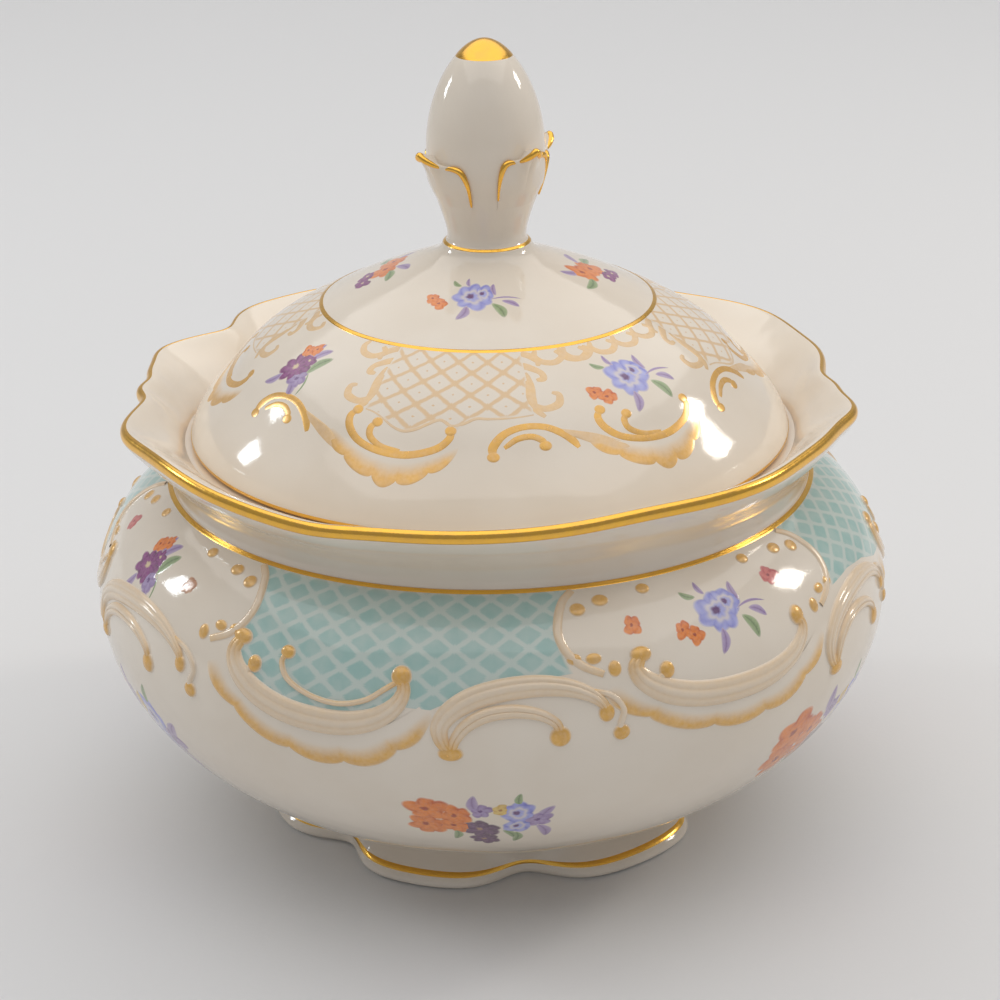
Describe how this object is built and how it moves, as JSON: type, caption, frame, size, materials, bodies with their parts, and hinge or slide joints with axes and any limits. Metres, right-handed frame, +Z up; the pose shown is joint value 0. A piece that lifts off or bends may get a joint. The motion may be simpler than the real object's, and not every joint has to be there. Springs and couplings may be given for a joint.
{
  "type": "covered sugar bowl",
  "caption": "Round-bellied porcelain sugar bowl on a lobed foot ring, with a flared scalloped rim and a loose domed lid with a bud finial, edged in gold.",
  "frame": {"origin": "on the table, on the axis of the belly, under the middle of the bowl", "axes": "+Z up along the axis of the belly and the lid, -Y towards the painted front, +X to the right of someone who looks at the front"},
  "size_m": [0.13, 0.13, 0.1294],
  "materials": {
    "porcelain": "clear gloss glaze over warm white porcelain",
    "gilding": "burnished bright gold, fired on the glaze"
  },
  "bodies": {
    "bowl": {"bowl_body": "porcelain", "foot_ring": "porcelain", "rim_gilding": "gilding", "neck_gilding": "gilding", "foot_gilding": "gilding"},
    "lid": {"lid_dome": "porcelain", "finial": "porcelain", "lid_edge_gilding": "gilding", "lid_ring_gilding": "gilding", "collar_gilding": "gilding", "tip_gilding": "gilding"}
  },
  "joints": [
    {"name": "lid_lift", "type": "slide", "parent": "bowl", "child": "lid", "axis": [0, 0, 1], "range_m": [0, 0.12]}
  ]
}
